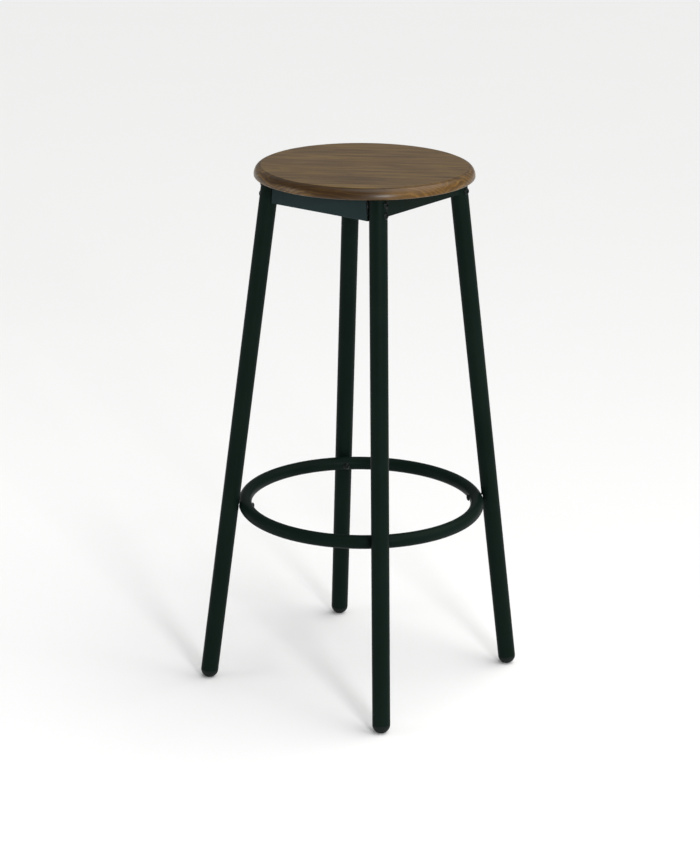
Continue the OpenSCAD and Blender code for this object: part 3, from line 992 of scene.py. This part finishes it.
def build_seat_screws():
    """Pan-head wood screws with a cross recess, driven up through the tabs."""
    head_r, head_h = 4 * MM, 2.6 * MM
    profile = [(0, -head_h), (1.6 * MM, -head_h + 0.06 * MM)]
    profile += arc((head_r - 1.7 * MM, -head_h + 1.75 * MM), 1.7 * MM, -75, 0, 8)
    profile += [(head_r, -0.12 * MM), (head_r - 0.12 * MM, 0), (SCREW_R, 0)]
    profile += [(SCREW_R, SCREW_LEN - 3 * MM), (0.3 * MM, SCREW_LEN), (0, SCREW_LEN)]
    body = revolve(profile, 40)
    parts, recesses = [], []
    for number, (x, y) in enumerate(SCREW_PLACES):
        turn = Matrix.Rotation(math.radians(12 + 37 * number), 4, "Z")
        place = Matrix.Translation((x, y, SEAT_UNDER - TAB_T)) @ turn
        parts.append(moved(body, place))
        recesses.append(moved(cross_recess(head_h), place))
    points, faces = joined(parts)
    screws = new_piece("seat_screws_set", points, faces, ZINC, ("seat_screws",), sharp=30)
    return cut(screws, recesses, sharp=30)


def cross_recess(head_h):
    """A cross-shaped cutter that tapers as it goes up into a screw's head."""
    arm_long, arm_half_w, floor = 2.1 * MM, 0.55 * MM, -head_h + 1.6 * MM

    def loop(height, size):
        points = []
        for x, y in [(1, 0), (0, 1), (-1, 0), (0, -1)]:
            arm, across = Vector((x, y, 0)), Vector((-y, x, 0))
            level = Vector((0, 0, height))
            points += [arm * size * arm_long + across * side * arm_half_w + level for side in (-1, 1)]
            points.append((arm + across) * arm_half_w + level)
        return points

    return loft([loop(-head_h - PAST_FACE, 1.1), loop(floor, 0.55)], capped=True)


# ---- Seat tabs ----

def build_tab(name, centre, turn):
    """A flat tab with two rounded corners and a screw hole, welded to the rail along its underside."""
    corner_r = 4 * MM
    lap = RAIL_CORNER / 2
    outline = [(TAB_REACH / 2 + lap, -TAB_LEN / 2), (TAB_REACH / 2 + lap, TAB_LEN / 2)]
    for side in (1, -1):
        middle = (-TAB_REACH / 2 + corner_r, side * (TAB_LEN / 2 - corner_r))
        start = 90 if side == 1 else 180
        outline += arc(middle, corner_r, start, start + 90, 8)
    place = Matrix.Translation((centre[0], centre[1], SEAT_UNDER - TAB_T)) @ Matrix.Rotation(turn, 4, "Z")
    loops = [[Vector((x, y, z)) for x, y in outline] for z in (0, TAB_T)]
    points, faces = loft(loops, capped=True)
    tab = new_piece(name + "_plate", points, faces, COAT, (name,), matrix=place)
    hole_low, hole_high = Vector((0, 0, -PAST_FACE)), Vector((0, 0, TAB_T + PAST_FACE))
    hole = rod(place @ hole_low, place @ hole_high, TAB_HOLE_R, 32)
    # The tab laps onto the rail's rounded top edge, so that round is cut out of it
    edge_x, edge_z = TAB_REACH / 2 + RAIL_CORNER, TAB_T - RAIL_CORNER
    edge_start, edge_end = [place @ Vector((edge_x, y, edge_z)) for y in (-TAB_LEN, TAB_LEN)]
    rail_edge = rod(edge_start, edge_end, RAIL_CORNER, 64)
    cut(tab, [hole, rail_edge])
    soften(tab, 0.25 * MM, angle=50)
    add_tab_welds(tab, place)
    return tab


def add_tab_welds(tab, place):
    """Two short beads in the corner between the tab's underside and the rail's face."""
    size, bead_len, end_gap, step = 1.7 * MM, 9 * MM, 1.5 * MM, 0.22 * MM
    count = int(bead_len / step)
    work = bmesh.new()
    work.from_mesh(tab.data)
    for start in (-TAB_LEN / 2 + end_gap, TAB_LEN / 2 - end_gap - bead_len):
        path = []
        for i in range(count + 1):
            corner = Vector((TAB_REACH / 2, start + bead_len * i / count, 0))

            def down_rail(reach, corner=corner):
                return place @ (corner + Vector((0, 0, -reach)))

            def under_tab(reach, corner=corner):
                return place @ (corner + Vector((-reach, 0, 0)))

            path.append((place @ corner, down_rail, under_tab))
        points, faces = loft(bead_sections(path, size), capped=True)
        verts = [work.verts.new(p) for p in points]
        for face in faces:
            work.faces.new([verts[i] for i in face])
    work.to_mesh(tab.data)
    work.free()
    tidy_mesh(tab, 40)


# ---- Build ----

def keep_cad_node(name, material):
    """Shows the CAD node itself, with a better material."""
    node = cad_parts[name]
    if not node.material_slots:
        node.data.materials.append(material)
    for slot in node.material_slots:
        slot.material = material


build_seat()
for corner_name in CORNERS:
    build_leg(corner_name)
    build_foot(corner_name)
build_side_rail(1, "right_side_rail")
build_side_rail(-1, "left_side_rail")
build_frame_welds(1, "right_frame_welds")
build_frame_welds(-1, "left_frame_welds")
build_cross_rail(-1, "front_rail")
build_cross_rail(1, "back_rail")
build_ring()
build_rail_bolts(-1, "front_rail_bolts")
build_rail_bolts(1, "back_rail_bolts")
build_ring_bolts()
build_seat_screws()
build_tab("seat_tab_front", (0, -TAB_Y), -math.pi / 2)
build_tab("seat_tab_back", (0, TAB_Y), math.pi / 2)
build_tab("seat_tab_right", (TAB_X, 0), 0)
build_tab("seat_tab_left", (-TAB_X, 0), math.pi)
for hidden in ("front_rail_nut_plates", "back_rail_nut_plates", "footrest_inserts"):
    keep_cad_node(hidden, ZINC)


# ---- Stage ----

def floor_paint():
    """Pale paint with a faint mottle."""
    s = Shader("pale_floor")
    mottle = s.noise(s.here, 3.0, 2.0, 0.5)
    pale = 0.88
    shade = 0.985 * pale
    s.surface(
        Base_Color=s.mix(mottle, rgb(shade, shade, shade), rgb(pale, pale, pale)),
        Roughness=0.8,
        Specular_IOR_Level=0.2,
    )
    return s.material


def build_floor():
    """A very wide level floor, just under the feet."""
    reach = 30.0
    corners = [(-reach, -reach, 0), (reach, -reach, 0), (reach, reach, 0), (-reach, reach, 0)]
    mesh = mesh_of("studio_floor", corners, [(0, 1, 2, 3)])
    floor = add_to_scene("studio_floor", mesh)
    floor.location.z = -0.1 * MM
    mesh.materials.append(floor_paint())


def way_to(azimuth, elevation):
    """The direction from the stool to a light. Azimuth 0 is in front, and 90 is to the right."""
    turn, lift = math.radians(azimuth), math.radians(elevation)
    return Vector((math.sin(turn) * math.cos(lift), -math.cos(turn) * math.cos(lift), math.sin(lift)))


def soft_light(name, azimuth, elevation, distance, size, power):
    """A softbox aimed at the stool."""
    aim = Vector((0, 0, 0.45))
    back = way_to(azimuth, elevation)
    lamp = bpy.data.lights.new(name, "AREA")
    lamp.shape = "RECTANGLE"
    lamp.size, lamp.size_y = size
    lamp.energy = power
    add_to_scene(name, lamp).matrix_world = aimed(aim + back * distance, back)


def broad_sun(name, azimuth, elevation, spread, power, colour):
    """A far, broad source, which lights the whole floor evenly. The spread is its angle across in degrees."""
    back = way_to(azimuth, elevation)
    lamp = bpy.data.lights.new(name, "SUN")
    lamp.angle = math.radians(spread)
    lamp.energy = power
    lamp.color = colour
    add_to_scene(name, lamp).matrix_world = aimed(back * 5, back)


def build_lights():
    """A broad light from high at the right rear, three softboxes and a faint sky."""
    broad_sun("ceiling_light", 125, 64, 70, 2.5, (1.0, 0.99, 0.97))
    soft_light("key_softbox", 57, 19, 3.0, (0.6, 0.45), 38)
    soft_light("left_softbox", -42, 10, 3.2, (1.2, 1.2), 13)
    soft_light("right_softbox", 100, 24, 3.2, (0.9, 1.5), 10)
    world = bpy.data.worlds.new("studio")
    world.use_nodes = True
    background = world.node_tree.nodes["Background"]
    background.inputs["Color"].default_value = rgb(0.95, 0.98, 1.0)
    background.inputs["Strength"].default_value = 0.29
    bpy.context.scene.world = world


def build_camera():
    """The photograph's viewpoint: a long lens to the right of the front, looking down a little."""
    azimuth, distance, height = math.radians(36.794), 3.512, 1.536
    aim_side, aim_height, roll = -0.017, 0.373, math.radians(0.53)
    right = Vector((math.cos(azimuth), math.sin(azimuth), 0))
    place = Vector((math.sin(azimuth) * distance, -math.cos(azimuth) * distance, height))
    aim = right * aim_side + Vector((0, 0, aim_height))
    lens = bpy.data.cameras.new("camera")
    lens.lens = 107.0
    lens.clip_end = 100
    camera = add_to_scene("camera", lens)
    camera.matrix_world = aimed(place, place - aim) @ Matrix.Rotation(roll - math.pi / 2, 4, "Z")
    bpy.context.scene.camera = camera


build_floor()
build_lights()
build_camera()
bpy.context.scene.view_settings.view_transform = "Standard"
